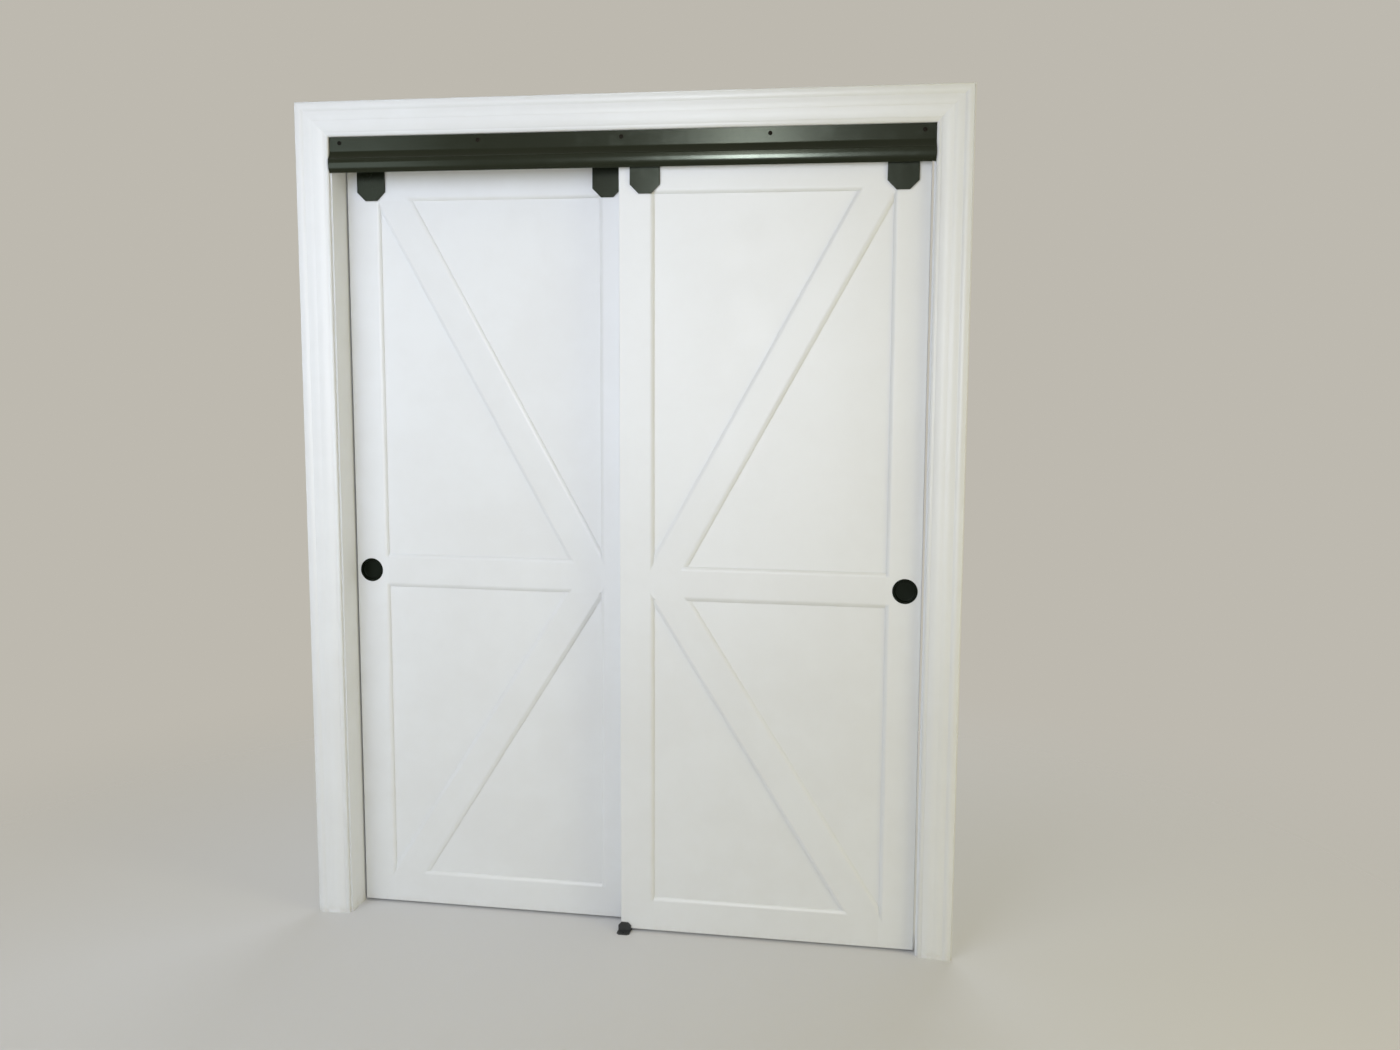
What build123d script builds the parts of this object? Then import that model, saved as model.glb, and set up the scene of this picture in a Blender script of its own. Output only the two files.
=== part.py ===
from build123d import *
from math import acos, atan2, cos, hypot, radians, tan
import os

# A cased opening with a pair of bypass sliding barn doors, in millimetres.
# X runs along the opening, Y from the room into the wall, Z up from the floor.
# Depths are measured from the wall face, where the casing's back and the jambs' front edges meet.

# How far a cutter runs past the face that it opens
cut_margin = 1.0

# Opening and jambs
opening_width = 1524.0
opening_height = 2065.0
jamb_thickness = 19.0
jamb_depth = 121.0
jamb_ease = 1.0
head_rabbet = 8.0
wood_fit = 0.1

# Casing: a moulding with an inner bead, a sloping lobe, a flatter lobe and an outer bead
casing_width = 88.0
casing_thickness = 17.0
reveal = 4.5
casing_edge = 7.0
casing_bead_end = 12.0
casing_bead_height = 8.6
casing_bead_crown = 1.9
casing_slope_start = 13.6
casing_slope_low = 10.4
casing_slope_end = 39.0
casing_slope_high = 14.4
casing_slope_crown = 1.4
casing_lobe_start = 41.6
casing_lobe_end = 62.6
casing_lobe_height = 14.8
casing_lobe_crown = 0.9
casing_groove_depth = 1.3
casing_band = 23.0
casing_band_drop = 1.8
casing_band_round = 5.0
casing_relief_margin = 12.0
casing_relief_depth = 2.0
casing_relief_slope = 2.0

# Doors: they fill the opening's width with an overlap, and its height less two gaps
door_overlap = 22.0
door_side_gap = 5.0
door_top_gap = 59.0
door_clearance = 8.0
slab_thickness = 27.0
board_thickness = 8.0
board_width = 89.0
board_bevel_width = 12.0
board_bevel_depth = 6.0
door_ease = 1.5
front_face_depth = 15.0
door_pitch = 65.0
mid_rail_height = 887.0
upper_brace_landing = 26.0
lower_brace_landing = 14.0

# Flush pulls
pull_inset = 41.0
pull_rim_radius = 31.5
pull_rim_thickness = 1.2
pull_cup_radius = 27.5
pull_wall = 1.2
pull_floor_sides = 12
pull_bore_clearance = 0.3

# Straps
strap_inset = 67.0
strap_width = 76.0
strap_thickness = 5.0
strap_below_door_top = 88.5
strap_above_axle = 15.0
strap_corner = 22.0
strap_top_corner = 12.0
strap_ease = 0.6

# Wheels and the axle bolts fixed to the straps
wheel_offset = 8.0
wheel_width = 14.0
wheel_radius = 17.0
wheel_tread_radius = 13.0
wheel_groove_clearance = 0.8
rail_bead_radius = 2.2
wheel_rail_gap = 0.3
axle_radius = 4.0
running_clearance = 0.05
axle_side_gap = 0.5
axle_across_flats = 13.0
axle_nut_height = 4.0
axle_head_height = 2.5

# Track: a top web, a front wall and two rails, drawn as one extrusion
track_wall = 3.0
track_front_height = 30.0
track_end_gap = 1.0
rail_door_gap = 8.0
rail_lip_height = 8.0
rail_web_offset = 11.0

# Stops at the rail ends
stop_length = 20.0
stop_width = 10.0
stop_height = 20.0
stop_wheel_gap = 3.0
stop_slot_clearance = 0.3
stop_ease = 2.0

# Fascia: a flange, a shallow cove and a rounded nose with a return lip
fascia_wall = 2.0
fascia_gap = 0.5
flange_height = 35.0
cove_height = 19.0
cove_reach = 9.0
cove_sag = 1.6
crest_height = 4.0
crest_crown = 0.5
nose_height = 31.0
nose_reach = 10.5
nose_crown = 3.6
nose_bottom_reach = 3.0
lip_depth = 3.5

# Floor guide
guide_width = 34.0
guide_base = 3.0
guide_front_reach = 15.0
guide_corner = 6.0
guide_fin_height = 24.0
guide_fin_corner = 8.0
guide_fin_thickness = 4.2
guide_clearance = 0.8
guide_hole_radius = 2.25
guide_front_hole_depth = -5.0
guide_hole_spacing = 70.0

# Places worked out from the sizes above
half_opening = opening_width / 2
total_depth = jamb_depth + casing_thickness
row_shift = casing_thickness - total_depth / 2
casing_inner_x = half_opening + reveal
casing_inner_z = opening_height + reveal
jamb_height = opening_height + jamb_thickness
door_thickness = slab_thickness + board_thickness
door_width = half_opening - door_side_gap + door_overlap / 2
door_top = opening_height - door_top_gap
door_height = door_top - door_clearance
door_centre_x = half_opening - door_side_gap - door_width / 2
face_depths = {"front": front_face_depth, "rear": front_face_depth + door_pitch}
rail_shelf_z = door_top + rail_door_gap
rail_top_z = rail_shelf_z + track_wall + rail_lip_height
axle_z = rail_top_z + wheel_rail_gap + wheel_tread_radius
strap_bottom_z = door_top - strap_below_door_top
strap_top_z = axle_z + strap_above_axle
strap_x = door_width / 2 - strap_inset
pull_x = door_width / 2 - pull_inset
pull_z = door_clearance + mid_rail_height + board_width / 2
fascia_top_z = casing_inner_z - fascia_gap
fascia_half_length = casing_inner_x - fascia_gap
track_half_length = half_opening - track_end_gap
track_depth = face_depths["rear"] + wheel_offset + rail_web_offset + track_wall


# Helpers

def block(x, y, z):
    centre = Pos((x[0] + x[1]) / 2, (y[0] + y[1]) / 2, (z[0] + z[1]) / 2)
    return centre * Box(x[1] - x[0], y[1] - y[0], z[1] - z[0])


def facing(depth):
    # a sketch plane parallel to the wall, seen from the room: its x is X and its y is Z
    return Plane(origin=(0, depth, 0), x_dir=(1, 0, 0), z_dir=(0, -1, 0))


def flat(points):
    return make_face(Polyline(*points, close=True))


def plate(outline, depth, thickness):
    # an outline parallel to the wall, thickened from its depth into the wall
    return extrude(facing(depth) * outline, amount=-thickness)


def turned(outline, x, z):
    # a section of radius and depth, turned round an axis along Y at x and z
    return Pos(x, 0, z) * revolve(outline, Axis.Y)


def rod(radius, depth, length, x, z):
    return plate(Pos(x, z) * Circle(radius), depth, length)


# Jambs

def side_jamb():
    # the right side jamb, rabbeted at its top for the head jamb
    body = block(
        (half_opening, half_opening + jamb_thickness),
        (0, jamb_depth),
        (0, jamb_height),
    )
    seat = block(
        (half_opening, half_opening + head_rabbet),
        (0, jamb_depth),
        (opening_height, jamb_height),
    )
    front_arris = body.edges().filter_by(Axis.Z).group_by(Axis.X)[0].sort_by(Axis.Y)[0]
    return chamfer(front_arris, jamb_ease) - seat


def head_jamb():
    half_length = half_opening + head_rabbet - wood_fit
    return block((-half_length, half_length), (0, jamb_depth), (opening_height, jamb_height))


# Casing

def crowned(start, end, crown):
    # an arc whose middle stands out from its chord
    run = end[0] - start[0]
    rise = end[1] - start[1]
    chord = hypot(run, rise)
    middle = (
        (start[0] + end[0]) / 2 - crown * rise / chord,
        (start[1] + end[1]) / 2 + crown * run / chord,
    )
    return ThreePointArc(start, middle, end)


def casing_section():
    # x runs from the inner edge outwards, y from the wall into the room
    outer = casing_width
    band_low = casing_thickness - casing_band_drop
    corner = outer - casing_band_round
    corner_sag = casing_band_round * (1 - cos(radians(45)))
    slope = casing_relief_slope
    relief = casing_relief_margin
    bead_end = (casing_bead_end, casing_bead_height)
    slope_start = (casing_slope_start, casing_slope_low)
    slope_end = (casing_slope_end, casing_slope_high)
    lobe_start = (casing_lobe_start, casing_lobe_height)
    lobe_end = (casing_lobe_end, casing_lobe_height)
    band_start = (outer - casing_band, band_low)
    first_groove = (
        (casing_slope_end + casing_lobe_start) / 2,
        casing_slope_high - casing_groove_depth,
    )
    second_groove = (
        (casing_lobe_end + outer - casing_band) / 2,
        casing_lobe_height - casing_groove_depth,
    )
    outline = Polyline((0, 0), (0, casing_edge))
    outline += crowned((0, casing_edge), bead_end, casing_bead_crown)
    outline += Line(bead_end, slope_start)
    outline += crowned(slope_start, slope_end, casing_slope_crown)
    outline += Polyline(slope_end, first_groove, lobe_start)
    outline += crowned(lobe_start, lobe_end, casing_lobe_crown)
    outline += Polyline(lobe_end, second_groove, band_start)
    outline += crowned(band_start, (corner, band_low), casing_band_drop)
    outline += ThreePointArc(
        (corner, band_low),
        (outer - corner_sag, band_low - corner_sag),
        (outer, band_low - casing_band_round),
    )
    outline += Polyline(
        (outer, band_low - casing_band_round),
        (outer, 0),
        (outer - relief, 0),
        (outer - relief - slope, casing_relief_depth),
        (relief + slope, casing_relief_depth),
        (relief, 0),
        (0, 0),
    )
    return make_face(outline.edges())


def mitre_plane():
    # through the right-hand mitre, with its normal towards the leg
    return Plane(
        origin=(casing_inner_x, 0, casing_inner_z),
        x_dir=(0, 1, 0),
        z_dir=(1, 0, -1),
    )


def casing_leg():
    foot = Plane(origin=(casing_inner_x, 0, 0), x_dir=(1, 0, 0), z_dir=(0, 0, -1))
    leg = extrude(foot * casing_section(), amount=-(casing_inner_z + casing_width))
    return split(leg, bisect_by=mitre_plane(), keep=Keep.TOP)


def casing_head():
    half_length = casing_inner_x + casing_width
    end = Plane(origin=(-half_length, 0, casing_inner_z), x_dir=(0, 0, 1), z_dir=(1, 0, 0))
    head = extrude(end * casing_section(), amount=2 * half_length)
    head = split(head, bisect_by=mitre_plane(), keep=Keep.BOTTOM)
    head = mirror(head, about=Plane.YZ)
    return split(head, bisect_by=mitre_plane(), keep=Keep.BOTTOM)


# Track

def track_section():
    # x is depth, y is height above the opening's top
    def bar(x_low, x_high, z_low, z_high):
        centre = Pos((x_low + x_high) / 2, (z_low + z_high) / 2 - opening_height)
        return centre * Rectangle(x_high - x_low, z_high - z_low)

    section = bar(0, track_depth, opening_height - track_wall, opening_height)
    section += bar(0, track_wall, opening_height - track_front_height, opening_height)
    for face in face_depths.values():
        lip = face + wheel_offset
        web = lip + rail_web_offset
        section += bar(web, web + track_wall, rail_shelf_z, opening_height)
        section += bar(lip - track_wall / 2, web + track_wall, rail_shelf_z, rail_shelf_z + track_wall)
        section += bar(lip - track_wall / 2, lip + track_wall / 2, rail_shelf_z, rail_top_z - rail_bead_radius)
        section += Pos(lip, rail_top_z - rail_bead_radius - opening_height) * Circle(rail_bead_radius)
    return section


def track():
    end = Plane(origin=(-track_half_length, 0, opening_height), x_dir=(0, 1, 0), z_dir=(1, 0, 0))
    return extrude(end * track_section(), amount=2 * track_half_length)


# Stops

def stop_inner_x():
    # the stop's face, a small gap beyond the wheel of a closed or fully open door
    return door_centre_x + strap_x + wheel_radius + stop_wheel_gap


def rail_stop(face):
    # the right-hand stop, which sits over the rail's lip
    lip = face + wheel_offset
    low = rail_shelf_z + track_wall
    body = block(
        (stop_inner_x(), stop_inner_x() + stop_length),
        (lip - stop_width / 2, lip + rail_web_offset),
        (low, low + stop_height),
    )
    body = chamfer(body.edges().filter_by(Axis.Y).group_by(Axis.Z)[-1], stop_ease)
    slot_half = rail_bead_radius + stop_slot_clearance
    return body - block(
        (stop_inner_x() - cut_margin, stop_inner_x() + stop_length + cut_margin),
        (lip - slot_half, lip + slot_half),
        (low - cut_margin, rail_top_z + stop_slot_clearance),
    )


# Fascia

def fascia_section():
    # x is depth, y is height below the fascia's top edge; the line is the front surface
    front = -fascia_wall
    cove_start = (front, -flange_height)
    crest_start = (front - cove_reach, cove_start[1] - cove_height)
    nose_start = (front - nose_reach, crest_start[1] - crest_height)
    nose_end = (front - nose_bottom_reach, nose_start[1] - nose_height)
    surface = Line((front, 0), cove_start)
    surface += crowned(cove_start, crest_start, cove_sag)
    surface += crowned(crest_start, nose_start, -crest_crown)
    surface += crowned(nose_start, nose_end, -nose_crown)
    surface += Line(nose_end, (nose_end[0] + lip_depth, nose_end[1]))
    path = Wire(surface.edges())
    return make_face(path.offset_2d(fascia_wall, kind=Kind.ARC, side=Side.LEFT).edges())


def fascia():
    end = Plane(origin=(-fascia_half_length, 0, fascia_top_z), x_dir=(0, 1, 0), z_dir=(1, 0, 0))
    return extrude(end * fascia_section(), amount=2 * fascia_half_length)


# Floor guide

def floor_guide():
    front = face_depths["front"] - guide_clearance
    gap_front = face_depths["front"] + door_thickness + guide_clearance
    gap_rear = face_depths["rear"] - guide_clearance
    rear = face_depths["rear"] + door_thickness + guide_clearance
    back = rear + guide_fin_thickness
    length = back + guide_front_reach
    base = chamfer(Rectangle(guide_width, length).vertices(), guide_corner)
    base = Pos(0, (back - guide_front_reach) / 2) * base
    guide = extrude(base, amount=guide_base)
    fin_outline = Pos(0, guide_fin_height / 2) * Rectangle(guide_width, guide_fin_height)
    fin_outline = chamfer(fin_outline.vertices().group_by(Axis.Y)[-1], guide_fin_corner)
    fin_fronts = (
        front - guide_fin_thickness,
        gap_front,
        gap_rear - guide_fin_thickness,
        rear,
    )
    trim = extrude(base, amount=guide_fin_height)
    for depth in fin_fronts:
        guide += plate(fin_outline, depth, guide_fin_thickness) & trim
    for depth in (guide_front_hole_depth, guide_front_hole_depth + guide_hole_spacing):
        guide -= Pos(0, depth, 0) * Cylinder(guide_hole_radius, 2 * (guide_base + cut_margin))
    return guide


# Doors: modelled once about X = 0 with the pull at the right

def brace_tilt(width, height, landing):
    # the lean from upright of a brace whose two long edges each land on a stile,
    # at the given distance from the rail
    run = height - 2 * landing
    return acos(board_width / hypot(width, run)) - atan2(run, width)


def door_fields():
    # the two fields between the boards: low z, high z, brace landing, and
    # whether the brace leans right on its way up
    half = door_width / 2 - board_width
    low = door_clearance
    lower = (low + board_width, low + mid_rail_height, lower_brace_landing, False)
    upper = (low + mid_rail_height + board_width, low + door_height - board_width, upper_brace_landing, True)
    return half, lower, upper


def field_triangles(half, z_low, z_high, landing, leans_right):
    # the two open triangles that a brace leaves in its field
    lean = tan(brace_tilt(2 * half, z_high - z_low, landing))
    reach = (z_high - z_low - landing) * lean
    side = 1 if leans_right else -1
    first = [
        (-half * side, z_low + landing),
        (-half * side, z_high),
        ((reach - half) * side, z_high),
    ]
    second = [
        (half * side, z_high - landing),
        (half * side, z_low),
        ((half - reach) * side, z_low),
    ]
    return first, second


def brace_outline(half, z_low, z_high, landing, leans_right):
    first, second = field_triangles(half, z_low, z_high, landing, leans_right)
    side = 1 if leans_right else -1
    return [
        (-half * side, z_low),
        second[2],
        second[0],
        (half * side, z_high),
        first[2],
        first[0],
    ]


def field_cutters():
    # each open triangle, straight at the slab and bevelled out to the boards' face
    half, lower, upper = door_fields()
    cutters = []
    for field in (lower, upper):
        for corners in field_triangles(half, *field):
            opening = flat(corners)
            if opening.face().normal_at().Z < 0:
                opening = flat(corners[::-1])
            mouth = offset(opening, amount=board_bevel_width, kind=Kind.INTERSECTION)
            straight = plate(opening, board_bevel_depth, board_thickness - board_bevel_depth)
            sloped = loft([(facing(0) * mouth).face(), (facing(board_bevel_depth) * opening).face()], ruled=True)
            cutters.append(straight + sloped)
    return cutters


def board(points, cutters):
    body = plate(flat(points), 0, board_thickness)
    for cutter in cutters:
        body -= cutter
    return body


def box_points(x_low, x_high, z_low, z_high):
    return [(x_low, z_low), (x_high, z_low), (x_high, z_high), (x_low, z_high)]


def ease_outer_edge(body, side):
    # a small bevel along the door's outer face edge, at its left (0) or right (-1)
    return chamfer(body.edges().filter_by(Axis.Z).group_by(Axis.X)[side].sort_by(Axis.Y)[0], door_ease)


def door_boards():
    half, lower, upper = door_fields()
    cutters = field_cutters()
    outer = door_width / 2
    low = door_clearance
    high = door_top
    pull_hole = rod(
        pull_cup_radius + pull_bore_clearance, -cut_margin, board_thickness + 2 * cut_margin, pull_x, pull_z
    )
    boards = {
        "outer_stile": ease_outer_edge(board(box_points(half, outer, low, high), cutters), -1) - pull_hole,
        "inner_stile": ease_outer_edge(board(box_points(-outer, -half, low, high), cutters), 0),
        "bottom_rail": board(box_points(-half, half, low, lower[0]), cutters),
        "mid_rail": board(box_points(-half, half, lower[1], upper[0]), cutters),
        "top_rail": board(box_points(-half, half, upper[1], high), cutters),
        "lower_brace": board(brace_outline(half, *lower), cutters),
        "upper_brace": board(brace_outline(half, *upper), cutters),
    }
    return boards


def slab():
    body = block(
        (-door_width / 2, door_width / 2),
        (board_thickness, door_thickness),
        (door_clearance, door_top),
    )
    back_arrises = body.edges().filter_by(Axis.Z).group_by(Axis.Y)[-1]
    return chamfer(back_arrises, door_ease)


def flush_pull():
    # a turned ring with a thin bevelled rim, and a many-sided floor plate behind it
    inner = pull_cup_radius - pull_wall
    back = board_thickness - pull_wall
    ring = flat(
        [
            (inner, -pull_rim_thickness),
            (inner, back),
            (pull_cup_radius, back),
            (pull_cup_radius, 0),
            (pull_rim_radius, 0),
            (pull_rim_radius - pull_rim_thickness, -pull_rim_thickness),
        ]
    )
    outline = Pos(pull_x, pull_z) * RegularPolygon(pull_cup_radius, pull_floor_sides)
    return [turned(ring, pull_x, pull_z), plate(outline, back, pull_wall)]


def axle(x):
    # a bolt with its head behind the wheel and its nut in front of the strap
    seat = wheel_back() + axle_side_gap
    hexagon = Pos(x, axle_z) * RegularPolygon(axle_across_flats / 2, 6, major_radius=False)
    nut = plate(hexagon, -strap_thickness - axle_nut_height, axle_nut_height)
    head = plate(hexagon, seat, axle_head_height)
    return nut + rod(axle_radius, 0, seat, x, axle_z) + head


def strap(x):
    half = strap_width / 2
    outline = [
        (x - half + strap_corner, strap_bottom_z),
        (x + half - strap_corner, strap_bottom_z),
        (x + half, strap_bottom_z + strap_corner),
        (x + half, strap_top_z - strap_top_corner),
        (x + half - strap_top_corner, strap_top_z),
        (x - half + strap_top_corner, strap_top_z),
        (x - half, strap_top_z - strap_top_corner),
        (x - half, strap_bottom_z + strap_corner),
    ]
    body = plate(flat(outline), -strap_thickness, strap_thickness)
    body = chamfer(body.faces().sort_by(Axis.Y)[0].edges(), strap_ease)
    return body + axle(x)


def wheel_front():
    return wheel_offset - wheel_width / 2


def wheel_back():
    return wheel_offset + wheel_width / 2


def wheel(x):
    # two flanges and a flat tread that runs on the rail's bead
    front = wheel_front()
    back = wheel_back()
    bore = axle_radius + running_clearance
    half_groove = rail_bead_radius + wheel_groove_clearance
    section = flat(
        [
            (bore, front),
            (wheel_radius, front),
            (wheel_radius, wheel_offset - half_groove),
            (wheel_tread_radius, wheel_offset - half_groove),
            (wheel_tread_radius, wheel_offset + half_groove),
            (wheel_radius, wheel_offset + half_groove),
            (wheel_radius, back),
            (bore, back),
        ]
    )
    return turned(section, x, axle_z)


def door_nodes(side):
    # every piece of one door, placed at its track
    nodes = {"slab": slab(), "pull": flush_pull()}
    nodes.update(door_boards())
    # the outer strap is at the pull's side
    for place, x in (("outer", strap_x), ("inner", -strap_x)):
        nodes[f"strap_{place}"] = strap(x)
        nodes[f"wheel_{place}"] = wheel(x)
    placed = {}
    for name, shape in nodes.items():
        pieces = shape if isinstance(shape, list) else [shape]
        if side == "rear":
            pieces = [mirror(piece, about=Plane.YZ) for piece in pieces]
        shift = Pos(door_centre_x if side == "front" else -door_centre_x, face_depths[side], 0)
        placed[f"{side}_{name}"] = [shift * piece for piece in pieces]
    return placed


def frame_nodes():
    right_jamb = side_jamb()
    right_casing = casing_leg()
    nodes = {
        "jamb_right": right_jamb,
        "jamb_left": mirror(right_jamb, about=Plane.YZ),
        "head_jamb": head_jamb(),
        "casing_right": right_casing,
        "casing_left": mirror(right_casing, about=Plane.YZ),
        "casing_head": casing_head(),
        "track": track(),
        "fascia": fascia(),
        "floor_guide": floor_guide(),
    }
    for side, face in face_depths.items():
        stop = rail_stop(face)
        nodes[f"{side}_rail_stop_right"] = stop
        nodes[f"{side}_rail_stop_left"] = mirror(stop, about=Plane.YZ)
    return {name: [shape] for name, shape in nodes.items()}


def main():
    os.makedirs("parts", exist_ok=True)
    nodes = frame_nodes()
    for side in face_depths:
        nodes.update(door_nodes(side))
    for name, pieces in nodes.items():
        solids = []
        for piece in pieces:
            solids += (Pos(0, row_shift, 0) * piece).solids()
        shape = solids[0] if len(solids) == 1 else Compound(children=solids)
        export_step(shape, f"parts/{name}.step")


main()
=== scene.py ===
from math import atan2, cos, degrees, hypot, pi, radians, sin

import bmesh
import bpy
from mathutils import Matrix, Vector


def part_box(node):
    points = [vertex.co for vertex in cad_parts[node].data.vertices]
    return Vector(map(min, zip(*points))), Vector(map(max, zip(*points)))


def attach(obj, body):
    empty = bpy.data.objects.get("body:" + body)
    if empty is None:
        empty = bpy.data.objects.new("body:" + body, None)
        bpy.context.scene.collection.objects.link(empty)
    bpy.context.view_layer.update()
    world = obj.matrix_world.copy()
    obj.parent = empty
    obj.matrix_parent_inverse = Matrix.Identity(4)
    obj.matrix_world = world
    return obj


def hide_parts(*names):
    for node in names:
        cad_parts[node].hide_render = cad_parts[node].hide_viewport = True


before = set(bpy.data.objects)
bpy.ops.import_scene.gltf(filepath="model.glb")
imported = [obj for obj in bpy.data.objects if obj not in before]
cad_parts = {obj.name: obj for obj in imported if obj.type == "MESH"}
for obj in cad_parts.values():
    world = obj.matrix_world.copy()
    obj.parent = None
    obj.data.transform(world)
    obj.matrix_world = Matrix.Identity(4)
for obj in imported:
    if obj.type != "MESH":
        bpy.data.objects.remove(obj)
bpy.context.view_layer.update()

print("frame loaded:", len(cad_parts), "nodes")


# Making pieces

# merging distances for copied and for turned shapes, and the pull of flat faces on shading
meshing = {"weld": 1e-5, "seam": 1e-7, "flatWeight": 100}


def copyOfNode(node, flat=0.4):
    # a welded copy of a node's mesh, without the edges that turn by less than flat degrees
    bm = bmesh.new()
    bm.from_mesh(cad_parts[node].data)
    bmesh.ops.remove_doubles(bm, verts=bm.verts, dist=meshing["weld"])
    bmesh.ops.dissolve_limit(
        bm, angle_limit=radians(flat), verts=bm.verts, edges=bm.edges, delimit=set())
    return bm


def roundEdges(bm, edges, width, segments=2):
    bmesh.ops.bevel(
        bm, geom=edges, offset=width, offset_type="OFFSET", affect="EDGES",
        segments=segments, profile=0.5, material=-1, clamp_overlap=True)


def bentEdges(bm, low, high, test=None):
    # outward edges whose two faces turn by an angle between low and high, in degrees
    chosen = []
    for edge in bm.edges:
        if len(edge.link_faces) != 2:
            continue
        angle = edge.calc_face_angle_signed(0)
        if radians(low) < angle < radians(high) and (test is None or test(edge)):
            chosen.append(edge)
    return chosen


def finishPiece(name, bm, body, material, sharp, nodes=()):
    # the shape becomes a smooth shaded object, creased where it turns by more than sharp degrees
    mesh = bpy.data.meshes.new(name)
    bm.to_mesh(mesh)
    bm.free()
    mesh.polygons.foreach_set("use_smooth", [True] * len(mesh.polygons))
    mesh.set_sharp_from_angle(angle=radians(sharp))
    piece = bpy.data.objects.new(name, mesh)
    bpy.context.scene.collection.objects.link(piece)
    mesh.materials.append(material)
    # broad flat faces keep one tone beside their small bevels
    steady = piece.modifiers.new("steadyNormals", "WEIGHTED_NORMAL")
    steady.keep_sharp = True
    steady.weight = meshing["flatWeight"]
    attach(piece, body)
    if nodes:
        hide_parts(*nodes)


def turnedShape(profile, steps, closed=False):
    # radius and height pairs, spun about Z into a closed shell
    bm = bmesh.new()
    ring = [bm.verts.new((radius, 0, height)) for radius, height in profile]
    pairs = zip(ring, ring[1:] + ring[:1] if closed else ring[1:])
    edges = [bm.edges.new(pair) for pair in pairs]
    bmesh.ops.spin(
        bm, geom=ring + edges, cent=(0, 0, 0), axis=(0, 0, 1), angle=2 * pi,
        steps=steps, use_merge=True, use_duplicate=False)
    bmesh.ops.remove_doubles(bm, verts=bm.verts, dist=meshing["seam"])
    bmesh.ops.recalc_face_normals(bm, faces=bm.faces)
    return bm


def arcPoints(centre, radius, start, end, count):
    # points on an arc of a profile, from one angle to another in degrees
    step = (end - start) / (count - 1)
    angles = [radians(start + step * i) for i in range(count)]
    return [(centre[0] + radius * cos(angle), centre[1] + radius * sin(angle)) for angle in angles]


def addTurned(bm, shape, place, axis):
    # a turned shape set down in bm, its Z laid along an axis
    before = len(bm.verts)
    turn = Vector((0, 0, 1)).rotation_difference(Vector(axis)).to_matrix().to_4x4()
    bm.from_mesh(shape)
    bm.verts.ensure_lookup_table()
    bmesh.ops.transform(bm, matrix=Matrix.Translation(place) @ turn, verts=bm.verts[before:])


def keptShape(name, bm):
    mesh = bpy.data.meshes.new(name)
    bm.to_mesh(mesh)
    bm.free()
    return mesh


def camelName(node):
    first, *rest = node.split("_")
    return first + "".join(word.capitalize() for word in rest)


# Node groups

def newGroup(name, inputs, outputs):
    group = bpy.data.node_groups.new(name, "ShaderNodeTree")
    for label, kind, value in inputs:
        socket = group.interface.new_socket(label, in_out="INPUT", socket_type=kind)
        if value is not None:
            socket.default_value = value
    for label, kind in outputs:
        group.interface.new_socket(label, in_out="OUTPUT", socket_type=kind)
    start = group.nodes.new("NodeGroupInput")
    end = group.nodes.new("NodeGroupOutput")
    return group, start, end


class Wiring:
    # short calls for placing and joining nodes in one tree
    def __init__(self, tree):
        self.tree = tree

    def add(self, kind, **settings):
        node = self.tree.nodes.new(kind)
        for key, value in settings.items():
            setattr(node, key, value)
        return node

    def link(self, source, target):
        self.tree.links.new(source, target)

    def feed(self, socket, value):
        if isinstance(value, bpy.types.NodeSocket):
            self.link(value, socket)
        else:
            socket.default_value = value

    def noise(self, vector, scale, detail, roughness):
        node = self.add("ShaderNodeTexNoise")
        self.feed(node.inputs["Vector"], vector)
        self.feed(node.inputs["Scale"], scale)
        self.feed(node.inputs["Detail"], detail)
        self.feed(node.inputs["Roughness"], roughness)
        return node.outputs["Fac"]

    def stretch(self, vector, scale, turn=(0, 0, 0)):
        node = self.add("ShaderNodeMapping")
        self.feed(node.inputs["Vector"], vector)
        node.inputs["Rotation"].default_value = turn
        node.inputs["Scale"].default_value = scale
        return node.outputs["Vector"]

    def remap(self, value, low, high, toLow=0.0, toHigh=1.0):
        node = self.add("ShaderNodeMapRange", interpolation_type="SMOOTHSTEP")
        self.feed(node.inputs["Value"], value)
        self.feed(node.inputs["From Min"], low)
        self.feed(node.inputs["From Max"], high)
        self.feed(node.inputs["To Min"], toLow)
        self.feed(node.inputs["To Max"], toHigh)
        return node.outputs["Result"]

    def math(self, operation, a, b=0.0):
        node = self.add("ShaderNodeMath", operation=operation)
        self.feed(node.inputs[0], a)
        self.feed(node.inputs[1], b)
        return node.outputs[0]

    def mix(self, factor, a, b):
        node = self.add("ShaderNodeMix", data_type="RGBA")
        self.feed(node.inputs["Factor"], factor)
        self.feed(node.inputs["A"], a)
        self.feed(node.inputs["B"], b)
        return node.outputs["Result"]

    def split(self, vector):
        node = self.add("ShaderNodeSeparateXYZ")
        self.feed(node.inputs[0], vector)
        return node.outputs

    def bump(self, height, strength, distance):
        node = self.add("ShaderNodeBump")
        node.inputs["Strength"].default_value = strength
        node.inputs["Distance"].default_value = distance
        self.feed(node.inputs["Height"], height)
        return node.outputs["Normal"]


def placeGroup(wiring, group, **values):
    node = wiring.add("ShaderNodeGroup", node_tree=group)
    for label, value in values.items():
        wiring.feed(node.inputs[label], value)
    return node.outputs


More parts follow.
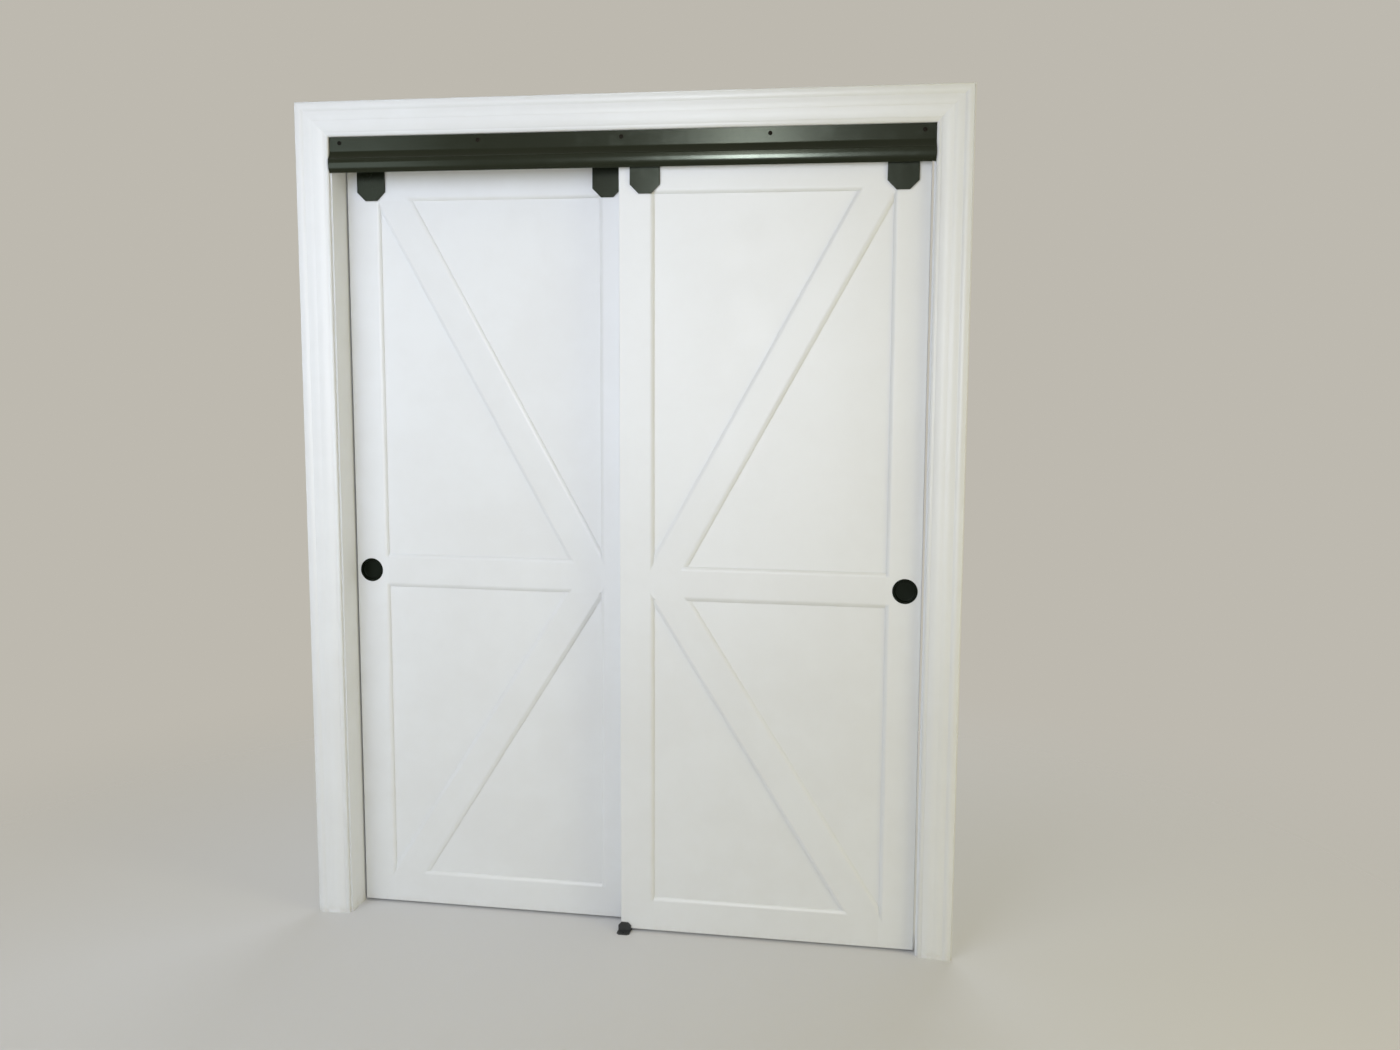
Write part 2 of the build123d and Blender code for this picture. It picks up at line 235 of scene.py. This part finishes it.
# each noise below has its scale, detail and roughness
filmTexture = {
    "lineStretch": (900, 900, 9), "lines": (1.0, 3.0, 0.6),
    "bandStretch": (160, 160, 3), "bands": (1.0, 2.0, 0.5),
    "stipple": (620.0, 2.0, 0.55), "drift": (2.6, 3.0, 0.55), "patch": (14.0, 3.0, 0.6),
    "driftShare": 0.65, "patchShare": 0.35, "sheenRange": (0.3, 0.7),
}
dustTexture = {"noise": (55.0, 4.0, 0.65), "brokenRange": (0.35, 0.7)}
coatTexture = {
    "pebble": (1400.0, 2.0, 0.5), "waveStretch": (5, 9, 9), "wave": (1.0, 2.0, 0.5),
    "rub": (24.0, 4.0, 0.65), "rubRange": (0.45, 0.75), "tone": (9.0, 3.0, 0.6),
}


def makePaintFilm(t):
    # brush lines along Z, a fine stipple, and slow drifts of tone
    group, start, end = newGroup(
        "paintFilm",
        [("Vector", "NodeSocketVector", None), ("Brush", "NodeSocketFloat", 0.6),
         ("Stipple", "NodeSocketFloat", 0.4)],
        [("Height", "NodeSocketFloat"), ("Drift", "NodeSocketFloat"),
         ("Sheen", "NodeSocketFloat")])
    w = Wiring(group)
    vector = start.outputs["Vector"]
    lines = w.noise(w.stretch(vector, t["lineStretch"]), *t["lines"])
    bands = w.noise(w.stretch(vector, t["bandStretch"]), *t["bands"])
    stipple = w.noise(vector, *t["stipple"])
    drift = w.noise(vector, *t["drift"])
    patch = w.noise(vector, *t["patch"])
    brushed = w.math("MULTIPLY", w.math("ADD", lines, bands), start.outputs["Brush"])
    rolled = w.math("MULTIPLY", stipple, start.outputs["Stipple"])
    w.link(w.math("ADD", brushed, rolled), end.inputs["Height"])
    slow = w.math("MULTIPLY", drift, t["driftShare"])
    quick = w.math("MULTIPLY", patch, t["patchShare"])
    w.link(w.math("ADD", slow, quick), end.inputs["Drift"])
    w.link(w.remap(patch, *t["sheenRange"]), end.inputs["Sheen"])
    return group


def makeSettledDust(t):
    # soil that gathers towards a level, broken up by noise
    group, start, end = newGroup(
        "settledDust",
        [("Vector", "NodeSocketVector", None), ("Level", "NodeSocketFloat", 0.0),
         ("Reach", "NodeSocketFloat", 0.05)],
        [("Mask", "NodeSocketFloat")])
    w = Wiring(group)
    height = w.split(start.outputs["Vector"])[2]
    above = w.math("SUBTRACT", height, start.outputs["Level"])
    fade = w.remap(w.math("DIVIDE", above, start.outputs["Reach"]), 0.0, 1.0, 1.0, 0.0)
    broken = w.remap(w.noise(start.outputs["Vector"], *t["noise"]), *t["brokenRange"])
    w.link(w.math("MULTIPLY", fade, broken), end.inputs["Mask"])
    return group


def makeCoatGrain(t):
    # the fine pebble of a powder coat, with a slow waviness under it
    group, start, end = newGroup(
        "coatGrain",
        [("Vector", "NodeSocketVector", None), ("Pebble", "NodeSocketFloat", 0.5),
         ("Wave", "NodeSocketFloat", 0.5)],
        [("Height", "NodeSocketFloat"), ("Rub", "NodeSocketFloat"), ("Tone", "NodeSocketFloat")])
    w = Wiring(group)
    vector = start.outputs["Vector"]
    pebble = w.noise(vector, *t["pebble"])
    wave = w.noise(w.stretch(vector, t["waveStretch"]), *t["wave"])
    height = w.math(
        "ADD", w.math("MULTIPLY", pebble, start.outputs["Pebble"]),
        w.math("MULTIPLY", wave, start.outputs["Wave"]))
    w.link(height, end.inputs["Height"])
    w.link(w.remap(w.noise(vector, *t["rub"]), *t["rubRange"]), end.inputs["Rub"])
    w.link(w.noise(vector, *t["tone"]), end.inputs["Tone"])
    return group


paintFilm = makePaintFilm(filmTexture)
settledDust = makeSettledDust(dustTexture)
coatGrain = makeCoatGrain(coatTexture)


# Materials

def newMaterial(name):
    material = bpy.data.materials.new(name)
    material.use_nodes = True
    tree = material.node_tree
    shader = tree.nodes["Principled BSDF"]
    w = Wiring(tree)
    coordinates = w.add("ShaderNodeTexCoord").outputs["Object"]
    return material, shader, w, coordinates


paintLook = {
    "light": (0.785, 0.800, 0.805, 1), "deep": (0.758, 0.768, 0.768, 1), "toneRange": (0.35, 0.65),
    "roughness": (0.405, 0.44), "gloss": 0.45, "bump": 0.35, "depth": 0.00012,
    "soil": (0.52, 0.47, 0.38, 1), "soilRoughness": 0.2,
}
# the jambs have a matt paint, tinted bluer than the doors' paint: a painted cool cast that offsets
# the warm fill lamp falling on them
jambLook = {
    **paintLook, "light": (0.810, 0.830, 0.860, 1), "deep": (0.785, 0.802, 0.828, 1), "gloss": 0.0,
}
# brush lines lean from upright by degrees; soil starts at a level, and fades out over a reach
paintWork = {
    "paintUpright": {"soilLevel": 0.008, "soilReach": 0.02, "soilAmount": 0.15},
    "paintLevel": {"lean": 90, "soilLevel": 0.008, "soilReach": 0.02, "soilAmount": 0.15},
    "paintLeanRight": {"lean": -30},
    "paintLeanLeft": {"lean": 30},
    "paintSlab": {"brush": 0.15, "stipple": 0.8, "soilReach": 0.02, "soilAmount": 0.1},
    "paintLeg": {"brush": 0.25, "stipple": 0.5, "soilReach": 0.03, "soilAmount": 0.3},
    "paintHead": {"lean": 90, "brush": 0.25, "stipple": 0.5},
    "paintJamb": {"soilReach": 0.04, "soilAmount": 0.3, "look": jambLook},
}
coatLooks = {
    "coverCoat": {
        "colour": (0.006, 0.008, 0.003, 1), "worn": (0.010, 0.012, 0.006, 1), "rubbed": 0.05,
        "roughness": 0.18, "matted": 0.03, "gloss": 0.40, "wave": 0.5, "depth": 0.00006},
    "strapCoat": {
        "colour": (0.006, 0.008, 0.003, 1), "worn": (0.014, 0.016, 0.009, 1), "rubbed": 0.25,
        "roughness": 0.22, "matted": 0.05, "gloss": 0.27, "wave": 0.4, "depth": 0.0002},
    "pullCoat": {
        "colour": (0.002, 0.004, 0.0015, 1), "worn": (0.006, 0.008, 0.005, 1), "rubbed": 0.25,
        "roughness": 0.28, "matted": 0.05, "gloss": 0.08, "wave": 0.1, "depth": 0.0002},
    "screwCoat": {
        "colour": (0.006, 0.005, 0.004, 1), "worn": (0.030, 0.018, 0.012, 1), "rubbed": 0.25,
        "roughness": 0.55, "matted": 0.12, "gloss": 0.1, "wave": 0.1, "depth": 0.0002},
}
coatShared = {
    "pebble": 0.5, "toneRange": (0.3, 0.7), "toned": 0.5, "bump": 0.4,
    "tint": (0.90, 1.0, 0.80, 1),  # the olive cast of the coat's highlights
}
metalLooks = {
    "trackAluminium": {
        "colour": (0.62, 0.63, 0.64, 1), "dull": (0.50, 0.50, 0.50, 1),
        "roughness": (0.28, 0.44), "drawnStretch": (6, 500, 500)},
    "platedSteel": {
        "colour": (0.60, 0.60, 0.58, 1), "dull": (0.44, 0.43, 0.40, 1),
        "roughness": (0.24, 0.40), "drawnStretch": (300, 300, 300)},
}
metalShared = {
    "drawn": (1.0, 3.0, 0.6), "drawnRange": (0.2, 0.8), "stain": (30.0, 4.0, 0.6),
    "stainRange": (0.35, 0.7), "bump": 0.3, "depth": 0.00006,
}
plasticLooks = {
    "wheelNylon": {
        "colour": (0.62, 0.60, 0.53, 1), "scuffed": (0.42, 0.40, 0.35, 1),
        "roughness": (0.37, 0.50)},
    "guideNylon": {
        "colour": (0.020, 0.022, 0.020, 1), "scuffed": (0.07, 0.07, 0.065, 1),
        "roughness": (0.40, 0.53)},
    "stopRubber": {
        "colour": (0.022, 0.022, 0.022, 1), "scuffed": (0.06, 0.06, 0.06, 1),
        "roughness": (0.65, 0.78)},
}
plasticShared = {
    "grain": (260.0, 3.0, 0.6), "grainRange": (0.2, 0.8), "scuff": (48.0, 4.0, 0.65),
    "scuffRange": (0.52, 0.75), "scuffShare": 0.5, "bump": 0.3, "depth": 0.0001,
}


def makePaint(name, lean=0, brush=0.6, stipple=0.35, soilLevel=0.0, soilReach=0.05,
              soilAmount=0.0, look=paintLook):
    material, shader, w, coordinates = newMaterial(name)
    along = w.stretch(coordinates, (1, 1, 1), (0, radians(lean), 0))
    film = placeGroup(w, paintFilm, Vector=along, Brush=brush, Stipple=stipple)
    dust = placeGroup(w, settledDust, Vector=coordinates, Level=soilLevel, Reach=soilReach)
    colour = w.mix(w.remap(film["Drift"], *look["toneRange"]), look["deep"], look["light"])
    colour = w.mix(w.math("MULTIPLY", dust["Mask"], soilAmount), colour, look["soil"])
    w.link(colour, shader.inputs["Base Color"])
    rough = w.remap(film["Sheen"], 0.0, 1.0, *look["roughness"])
    rough = w.math("ADD", rough, w.math("MULTIPLY", dust["Mask"], look["soilRoughness"]))
    w.link(rough, shader.inputs["Roughness"])
    shader.inputs["Specular IOR Level"].default_value = look["gloss"]
    w.link(w.bump(film["Height"], look["bump"], look["depth"]), shader.inputs["Normal"])
    return material


def makeCoat(name, look, shared):
    material, shader, w, coordinates = newMaterial(name)
    grain = placeGroup(
        w, coatGrain, Vector=coordinates, Pebble=shared["pebble"], Wave=look["wave"])
    tone = w.remap(grain["Tone"], *shared["toneRange"], 0.0, shared["toned"])
    tinted = w.mix(tone, look["colour"], look["worn"])
    tinted = w.mix(w.math("MULTIPLY", grain["Rub"], look["rubbed"]), tinted, look["worn"])
    w.link(tinted, shader.inputs["Base Color"])
    rough = w.remap(grain["Rub"], 0.0, 1.0, look["roughness"], look["roughness"] + look["matted"])
    w.link(rough, shader.inputs["Roughness"])
    shader.inputs["Specular IOR Level"].default_value = look["gloss"]
    shader.inputs["Specular Tint"].default_value = shared["tint"]
    w.link(w.bump(grain["Height"], shared["bump"], look["depth"]), shader.inputs["Normal"])
    return material


def makeMetal(name, look, shared):
    material, shader, w, coordinates = newMaterial(name)
    drawn = w.noise(w.stretch(coordinates, look["drawnStretch"]), *shared["drawn"])
    stain = w.remap(w.noise(coordinates, *shared["stain"]), *shared["stainRange"])
    w.link(w.mix(stain, look["colour"], look["dull"]), shader.inputs["Base Color"])
    w.link(w.remap(drawn, *shared["drawnRange"], *look["roughness"]), shader.inputs["Roughness"])
    shader.inputs["Metallic"].default_value = 1.0
    w.link(w.bump(drawn, shared["bump"], shared["depth"]), shader.inputs["Normal"])
    return material


def makePlastic(name, look, shared):
    material, shader, w, coordinates = newMaterial(name)
    grain = w.noise(coordinates, *shared["grain"])
    scuff = w.remap(w.noise(coordinates, *shared["scuff"]), *shared["scuffRange"])
    colour = w.mix(w.math("MULTIPLY", scuff, shared["scuffShare"]), look["colour"], look["scuffed"])
    w.link(colour, shader.inputs["Base Color"])
    w.link(w.remap(grain, *shared["grainRange"], *look["roughness"]), shader.inputs["Roughness"])
    w.link(w.bump(grain, shared["bump"], shared["depth"]), shader.inputs["Normal"])
    return material


materials = {name: makePaint(name, **values) for name, values in paintWork.items()}
materials |= {name: makeCoat(name, look, coatShared) for name, look in coatLooks.items()}
materials |= {name: makeMetal(name, look, metalShared) for name, look in metalLooks.items()}
materials |= {name: makePlastic(name, look, plasticShared) for name, look in plasticLooks.items()}
print("materials ready:", len(materials))


# Doors

doorBoards = {
    "uprights": ("outer_stile", "inner_stile"), "levels": ("top_rail", "mid_rail", "bottom_rail"),
    "braces": ("upper_brace", "lower_brace"),
    "sharp": 75,  # below this turn, thick paint rounds an edge to the eye
}


def boardMaterial(side, part):
    if part in doorBoards["levels"]:
        return materials["paintLevel"]
    if part in doorBoards["uprights"]:
        return materials["paintUpright"]
    leansRight = (part == "upper_brace") == (side == "front")
    return materials["paintLeanRight" if leansRight else "paintLeanLeft"]


def dressBoards(side):
    b = doorBoards
    for part in b["uprights"] + b["levels"] + b["braces"]:
        node = f"{side}_{part}"
        finishPiece(
            camelName(node), copyOfNode(node), f"{side}_door",
            boardMaterial(side, part), b["sharp"], [node])


def paintSlab(side):
    # the slab keeps its own shape
    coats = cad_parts[f"{side}_slab"].data.materials
    coats.clear()
    coats.append(materials["paintSlab"])


for side in ("front", "rear"):
    dressBoards(side)
    paintSlab(side)
print("doors painted")


# Flush pulls

pullShape = {
    "rimRadius": 0.0315, "rimHeight": 0.0012, "cupRadius": 0.0263, "wallRadius": 0.0275,
    "floor": 0.0068, "depth": 0.0080, "bend": 0.0028, "bendPoints": 7,
    "lip": 0.0005, "lipPoints": 4, "edgeRadius": 0.0010, "edgePoints": 6, "mouth": 0.00036,
    "steps": 96, "sharp": 45,
}


def pullProfile():
    # radius and height above the door's face, from the cup's middle round to its back
    s = pullShape
    cup, rim, lip, edge = s["cupRadius"], s["rimHeight"], s["lip"], s["edgeRadius"]
    profile = [(0.0, -s["floor"])]
    profile += arcPoints(
        (cup - s["bend"], s["bend"] - s["floor"]), s["bend"], -90, 0, s["bendPoints"])
    profile += [(cup, s["mouth"])]
    profile += arcPoints((cup + lip, rim - lip), lip, 180, 90, s["lipPoints"])
    profile += arcPoints((s["rimRadius"] - edge, rim - edge), edge, 90, 0, s["edgePoints"])
    profile += [(s["rimRadius"], 0.0), (s["wallRadius"], 0.0)]
    return profile + [(s["wallRadius"], -s["depth"]), (0.0, -s["depth"])]


def makePull(side):
    s = pullShape
    low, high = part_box(f"{side}_pull")
    centre = (low + high) / 2
    face = low.y + s["rimHeight"]
    shape = keptShape("pullShape", turnedShape(pullProfile(), s["steps"]))
    bm = bmesh.new()
    addTurned(bm, shape, (centre.x, face, centre.z), (0, -1, 0))
    finishPiece(
        camelName(f"{side}_pull"), bm, f"{side}_door", materials["pullCoat"],
        s["sharp"], [f"{side}_pull"])


for side in ("front", "rear"):
    makePull(side)
print("pulls turned")


# Screws: a domed head with a cross recess

screwHead = {
    "steps": 32, "rings": 6, "rim": 0.35, "sharp": 38,
    "recess": 0.30, "recessWall": 0.03, "core": 0.2, "armTo": 0.60, "armTurn": 12,
}


def screwShape(name, radius, height):
    # the head stands up from its seat along Z
    s = screwHead
    rim = height * s["rim"]
    rise = height - rim
    curve = (radius ** 2 + rise ** 2) / (2 * rise)
    lowest = degrees(atan2(curve - rise, radius))
    profile = [(0.0, 0.0), (radius, 0.0), (radius, rim)]
    profile += arcPoints((0.0, height - curve), curve, lowest, 90, s["rings"])[1:]
    profile[-1] = (0.0, height)
    bm = turnedShape(profile, s["steps"])
    arms = []
    for face in bm.faces:
        spot = face.calc_center_median()
        turn = (degrees(atan2(spot.y, spot.x)) + 45) % 90 - 45  # from the nearest arm
        out = hypot(spot.x, spot.y) / radius
        if spot.z > rim and out < s["armTo"] and (out < s["core"] or abs(turn) < s["armTurn"]):
            arms.append(face)
    bmesh.ops.inset_region(
        bm, faces=arms, thickness=radius * s["recessWall"], depth=-height * s["recess"])
    return keptShape(name, bm)


def makeScrews(name, body, material, places, axis, sizes):
    shape = screwShape(name + "Head", sizes["radius"], sizes["height"])
    bm = bmesh.new()
    for place in places:
        addTurned(bm, shape, place, axis)
    finishPiece(name, bm, body, materials[material], screwHead["sharp"])


# Straps, axle bolts and wheels

strapShape = {
    "thickness": 0.005, "edge": 0.0006, "sharp": 40, "nutHeight": 0.004,
    "nutClear": 0.001,  # the nut's own edges lie at least this far in front of the plate
    "plateRim": 0.003,  # the plate's front edges lie within this depth of its face
    "headClear": 0.010,  # the bolt head's own edges lie at least this far behind the plate
}
strapScrews = {"rises": (0.026, 0.066), "radius": 0.0055, "height": 0.0024}
wheelShape = {
    "bore": 0.00405, "radius": 0.017, "tread": 0.013, "halfGroove": 0.003, "round": 0.0008,
    "roundPoints": 5, "hub": 0.0075, "dish": 0.0125, "dishDepth": 0.0012, "steps": 96, "sharp": 40,
}


def makeStrap(side, place):
    s = strapShape
    node = f"{side}_strap_{place}"
    low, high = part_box(node)
    face = low.y + s["nutHeight"]
    rim = face + s["plateRim"]
    nutEnd = face - s["nutClear"]
    headStart = face + s["thickness"] + s["headClear"]

    def onPlate(edge):
        return all(face < vert.co.y < rim for vert in edge.verts)

    def onBolt(edge):
        depths = [vert.co.y for vert in edge.verts]
        return max(depths) < nutEnd or min(depths) > headStart

    bm = copyOfNode(node, flat=0.1)
    edges = bentEdges(bm, 20, 100, onPlate) + bentEdges(bm, 50, 100, onBolt)
    roundEdges(bm, edges, s["edge"])
    finishPiece(
        camelName(node), bm, f"{side}_door", materials["strapCoat"], s["sharp"],
        [node])


def wheelProfile(halfWidth):
    # radius and place along the axle, as a closed ring
    s = wheelShape
    soft, count = s["round"], s["roundPoints"]
    flange = [
        (s["hub"], halfWidth), (s["hub"] + soft, halfWidth - s["dishDepth"]),
        (s["dish"] - soft, halfWidth - s["dishDepth"]), (s["dish"], halfWidth)]
    flange += arcPoints((s["radius"] - soft, halfWidth - soft), soft, 90, 0, count)
    flange += arcPoints((s["radius"] - soft, s["halfGroove"] + soft), soft, 0, -90, count)
    flange += arcPoints((s["tread"] + soft, s["halfGroove"] - soft), soft, 90, 180, count)
    ring = [(s["bore"], halfWidth)] + flange
    return ring + [(radius, -along) for radius, along in reversed(ring)]


def makeWheel(side, place):
    s = wheelShape
    node = f"{side}_wheel_{place}"
    low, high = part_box(node)
    profile = wheelProfile((high.y - low.y) / 2)
    shape = keptShape("wheelShape", turnedShape(profile, s["steps"], closed=True))
    bm = bmesh.new()
    addTurned(bm, shape, (low + high) / 2, (0, 1, 0))
    finishPiece(
        camelName(node), bm, f"{side}_wheel_{place}_set",
        materials["wheelNylon"], s["sharp"], [node])


def makeStrapScrews(side):
    # driven from the door's back into the straps
    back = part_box(f"{side}_slab")[1].y
    places = []
    for place in ("outer", "inner"):
        low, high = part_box(f"{side}_strap_{place}")
        middle = (low.x + high.x) / 2
        places += [(middle, back, low.z + rise) for rise in strapScrews["rises"]]
    makeScrews(
        f"{side}StrapScrews", f"{side}_door", "platedSteel", places, (0, 1, 0),
        strapScrews)


for side in ("front", "rear"):
    for place in ("outer", "inner"):
        makeStrap(side, place)
        makeWheel(side, place)
    makeStrapScrews(side)
print("hangers dressed")


# Frame, track and cover

coverScrews = {
    "count": 5, "margin": 0.0275, "drop": 0.015, "wall": 0.002, "radius": 0.0052, "height": 0.0024}
trackScrews = {
    "count": 7, "margin": 0.060, "depth": 0.056, "web": 0.003, "radius": 0.0045, "height": 0.0024}
stopScrews = {"rise": 0.013, "radius": 0.0038, "height": 0.0016}
mouldPaint = {"minLength": 0.3, "corner": 18, "filled": 0.0015, "flat": 0.05, "sharp": 50}
easedEdges = {"low": 50, "high": 100, "jamb": 0.0006, "guide": 0.0005, "stop": 0.0005}


def fillGrooves(bm):
    # paint that has built up in the long inner corners of a moulding
    s = mouldPaint
    corners = set()
    for edge in bm.edges:
        if len(edge.link_faces) != 2 or edge.calc_length() <= s["minLength"]:
            continue
        if edge.calc_face_angle_signed(0) < -radians(s["corner"]):
            corners.update(edge.verts)
    for vert in corners:
        vert.co.y -= s["filled"]


def dressCasing(node, materialName):
    s = mouldPaint
    bm = copyOfNode(node, flat=s["flat"])
    fillGrooves(bm)
    finishPiece(
        camelName(node), bm, "frame", materials[materialName], s["sharp"], [node])


def dressNode(node, materialName, eased=None, sharp=35, flat=0.1):
    # a piece of the frame keeps its shape, with its facets smooth and its edges eased
    bm = copyOfNode(node, flat=flat)
    if eased:
        s = easedEdges
        roundEdges(bm, bentEdges(bm, s["low"], s["high"]), s[eased])
    finishPiece(
        camelName(node), bm, "frame", materials[materialName], sharp, [node])


def evenPlaces(low, high, count):
    return [low + (high - low) * i / (count - 1) for i in range(count)]


def makeCoverScrews():
    s = coverScrews
    low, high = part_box("fascia")
    front = high.y - s["wall"]  # the flange's face
    row = evenPlaces(low.x + s["margin"], high.x - s["margin"], s["count"])
    places = [(x, front, high.z - s["drop"]) for x in row]
    makeScrews("coverScrews", "frame", "screwCoat", places, (0, -1, 0), s)


def makeTrackScrews():
    s = trackScrews
    low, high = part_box("track")
    under = high.z - s["web"]  # the underside of the top web
    row = evenPlaces(low.x + s["margin"], high.x - s["margin"], s["count"])
    places = [(x, low.y + s["depth"], under) for x in row]
    makeScrews("trackScrews", "frame", "platedSteel", places, (0, 0, -1), s)


def makeStopScrews():
    s = stopScrews
    places = []
    for side in ("front", "rear"):
        for end in ("left", "right"):
            low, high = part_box(f"{side}_rail_stop_{end}")
            places.append(((low.x + high.x) / 2, low.y, low.z + s["rise"]))
    makeScrews("stopScrews", "frame", "platedSteel", places, (0, -1, 0), s)


dressCasing("casing_left", "paintLeg")
dressCasing("casing_right", "paintLeg")
dressCasing("casing_head", "paintHead")
dressNode("jamb_left", "paintJamb", "jamb")
dressNode("jamb_right", "paintJamb", "jamb")
dressNode("head_jamb", "paintHead", "jamb")
dressNode("track", "trackAluminium")
dressNode("fascia", "coverCoat", sharp=40, flat=0.02)
dressNode("floor_guide", "guideNylon", "guide")
for side in ("front", "rear"):
    for end in ("left", "right"):
        dressNode(f"{side}_rail_stop_{end}", "stopRubber", "stop")
makeCoverScrews()
makeTrackScrews()
makeStopScrews()
print("frame dressed")


# Studio

studio = {
    "backdrop": (0.51, 0.485, 0.43, 1), "world": (0.41, 0.375, 0.27, 1),
    "floor": (0.70, 0.70, 0.71, 1), "floorRoughness": 0.9, "floorRadius": 12.0, "floorSides": 64,
    "fadeFrom": 0.9, "fadeTo": 3.0,
}
# mirrored: whether glossy surfaces show the lamp; spreads: whether it lights matt surfaces
lamps = {
    "key": {
        "place": (-0.95, -2.9, 2.4), "aim": (-0.75, 0.0, 1.5), "size": (1.8, 1.8), "spread": 100,
        "power": 19, "colour": (0.63, 0.70, 0.90), "mirrored": False, "spreads": True},
    "window": {
        "place": (-2.5, -2.9, 1.3), "aim": (-0.5, 0.0, 0.7), "size": (1.6, 2.6), "spread": 180,
        "power": 30, "colour": (0.80, 0.89, 1.0), "mirrored": True, "spreads": True},
    "fill": {
        "place": (3.2, -1.4, 1.4), "aim": (-0.7, 0.0, 1.2), "size": (1.2, 2.2), "spread": 180,
        "power": 28, "colour": (1.0, 0.93, 0.62), "mirrored": False, "spreads": True},
    "sheen": {
        "place": (-0.2, -3.9, 1.5), "aim": (0.3, 0.0, 1.5), "size": (0.35, 1.8), "spread": 180,
        "power": 110, "colour": (0.86, 0.90, 1.0), "mirrored": True, "spreads": False},
    "glint": {
        "place": (-0.2, -3.9, 3.0), "aim": (0.3, 0.0, 2.0), "size": (0.35, 0.9), "spread": 180,
        "power": 10, "colour": (0.97, 0.98, 1.0), "mirrored": True, "spreads": False},
    "back": {
        "place": (0.4, 3.6, 2.8), "aim": (0.0, 0.0, 1.1), "size": (3.0, 3.0), "spread": 180,
        "power": 60, "colour": (0.78, 0.86, 1.0), "mirrored": True, "spreads": True},
}


def aimed(place, aim):
    direction = Vector(aim) - Vector(place)
    return direction.to_track_quat("-Z", "Y").to_matrix().to_4x4()


def hangLamp(name, values):
    light = bpy.data.lights.new(name + "Lamp", "AREA")
    light.shape = "RECTANGLE"
    light.size, light.size_y = values["size"]
    light.spread = radians(values["spread"])
    light.energy = values["power"]
    light.color = values["colour"]
    lamp = bpy.data.objects.new(name + "Lamp", light)
    turn = aimed(values["place"], values["aim"])
    lamp.matrix_world = Matrix.Translation(values["place"]) @ turn
    lamp.visible_glossy = values["mirrored"]
    lamp.visible_diffuse = values["spreads"]
    bpy.context.scene.collection.objects.link(lamp)


def makeFloor(values):
    # a pale sheet that fades into the backdrop away from the object
    bm = bmesh.new()
    bmesh.ops.create_circle(
        bm, cap_ends=True, segments=values["floorSides"], radius=values["floorRadius"])
    sheet = bpy.data.objects.new("studioFloor", keptShape("studioFloor", bm))
    bpy.context.scene.collection.objects.link(sheet)
    material, shader, w, coordinates = newMaterial("studioFloor")
    shader.inputs["Base Color"].default_value = values["floor"]
    shader.inputs["Roughness"].default_value = values["floorRoughness"]
    length = w.add("ShaderNodeVectorMath", operation="LENGTH")
    w.link(coordinates, length.inputs[0])
    far = w.remap(length.outputs["Value"], values["fadeFrom"], values["fadeTo"])
    clear = w.add("ShaderNodeBsdfTransparent")
    blend = w.add("ShaderNodeMixShader")
    w.link(far, blend.inputs[0])
    w.link(shader.outputs["BSDF"], blend.inputs[1])
    w.link(clear.outputs["BSDF"], blend.inputs[2])
    output = material.node_tree.nodes["Material Output"]
    w.link(blend.outputs["Shader"], output.inputs["Surface"])
    sheet.data.materials.append(material)


def makeWorld(values):
    # the backdrop's colour for what is seen and mirrored, and a plain even light on the object
    world = bpy.data.worlds.new("studioWorld")
    bpy.context.scene.world = world
    world.use_nodes = True
    w = Wiring(world.node_tree)
    background = world.node_tree.nodes["Background"]
    path = w.add("ShaderNodeLightPath")
    seen = w.math("MAXIMUM", path.outputs["Is Camera Ray"], path.outputs["Is Transmission Ray"])
    seen = w.math("MAXIMUM", seen, path.outputs["Is Glossy Ray"])
    w.link(w.mix(seen, values["world"], values["backdrop"]), background.inputs["Color"])


for name, values in lamps.items():
    hangLamp(name, values)
makeFloor(studio)
makeWorld(studio)

cameraView = {
    "place": (0.7806, -3.3933, 1.5208), "yaw": 9.847, "pitch": -7.156, "roll": 0.244,
    "focal": 1352.8, "width": 1400,  # in the photo's pixels
    "sensor": 36.0, "clipStart": 0.05, "clipEnd": 60.0,
}


def placeCamera(v):
    yaw, pitch, roll = radians(v["yaw"]), radians(v["pitch"]), radians(v["roll"])
    forward = Vector((-sin(yaw) * cos(pitch), cos(yaw) * cos(pitch), sin(pitch)))
    right = Vector((cos(yaw), sin(yaw), 0))
    up = right.cross(forward)
    turnedRight = right * cos(roll) + up * sin(roll)
    turnedUp = up * cos(roll) - right * sin(roll)
    data = bpy.data.cameras.new("photoCamera")
    data.sensor_fit = "HORIZONTAL"
    data.sensor_width = v["sensor"]
    data.lens = v["sensor"] * v["focal"] / v["width"]
    data.clip_start = v["clipStart"]
    data.clip_end = v["clipEnd"]
    camera = bpy.data.objects.new("photoCamera", data)
    axes = Matrix((turnedRight, turnedUp, -forward)).transposed().to_4x4()
    camera.matrix_world = Matrix.Translation(v["place"]) @ axes
    bpy.context.scene.collection.objects.link(camera)
    bpy.context.scene.camera = camera


placeCamera(cameraView)
bpy.context.scene.view_settings.view_transform = "Standard"
